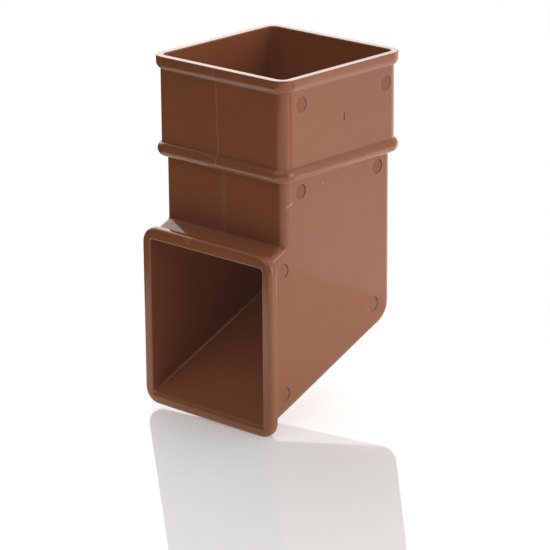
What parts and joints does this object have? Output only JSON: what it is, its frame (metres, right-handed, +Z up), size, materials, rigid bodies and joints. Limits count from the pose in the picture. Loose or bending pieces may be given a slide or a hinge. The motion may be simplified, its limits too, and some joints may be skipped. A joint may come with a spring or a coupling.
{
  "type": "downpipe shoe",
  "caption": "Square downpipe shoe moulded in one piece: a beaded socket on top and a sloping outlet with a rounded collar that throws rainwater clear of the wall.",
  "frame": {"origin": "on the axis of the socket, at the ledge inside it that the pipe stands on", "axes": "+Z up along the pipe, towards the mouth of the socket; +X to the right seen from in front of the outlet; the outlet faces -Y and the house wall is at +Y"},
  "size_m": [0.0736, 0.081, 0.1468],
  "materials": {
    "brown_upvc": "smooth semi-gloss injection-moulded rigid plastic, terracotta brown all through"
  },
  "bodies": {
    "root": {"downpipe_shoe": "brown_upvc"}
  },
  "joints": []
}
